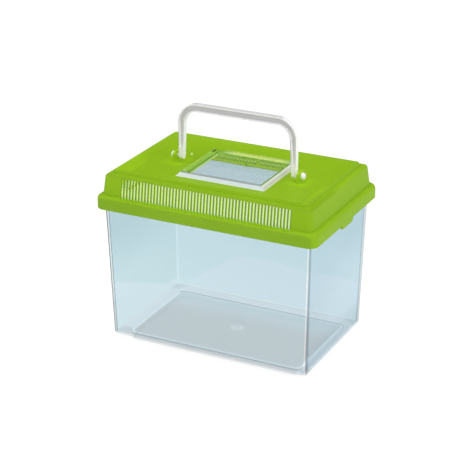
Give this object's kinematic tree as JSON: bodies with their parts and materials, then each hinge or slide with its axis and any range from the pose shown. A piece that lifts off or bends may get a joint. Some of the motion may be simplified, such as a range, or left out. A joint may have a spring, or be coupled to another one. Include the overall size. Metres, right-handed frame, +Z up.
{
  "type": "pet keeper",
  "caption": "Clear tapered plastic tank with a domed slotted lid, a hinged feeding hatch and a folding carry handle, for small pets.",
  "frame": {"origin": "middle of the footprint, on the ground plane", "axes": "+X to the right end, +Y to the back, +Z up; the front with the hatch's lifting lip faces -Y; the handle stands upright"},
  "size_m": [0.232, 0.154, 0.2372],
  "materials": {
    "tank_plastic": "clear, faint blue tint, glossy",
    "lid_plastic": "leaf green, satin gloss",
    "hatch_plastic": "clear, glossy",
    "handle_plastic": "white, satin gloss"
  },
  "bodies": {
    "tank": {"tank": "tank_plastic"},
    "lid": {"lid": "lid_plastic"},
    "hatch": {"hatch": "hatch_plastic"},
    "handle": {"handle": "handle_plastic"}
  },
  "joints": [
    {"name": "lid_lift", "type": "slide", "parent": "tank", "child": "lid", "axis": [0, 0, 1], "range_m": [0, 0.03]},
    {"name": "hatch_hinge", "type": "hinge", "parent": "lid", "child": "hatch", "pos_m": [0, 0.038, 0.17772], "axis": [-1, 0, 0], "range_deg": [0, 45]},
    {"name": "handle_fold", "type": "hinge", "parent": "lid", "child": "handle", "pos_m": [0, 0, 0.1817], "axis": [1, 0, 0], "range_deg": [-90, 90]}
  ]
}
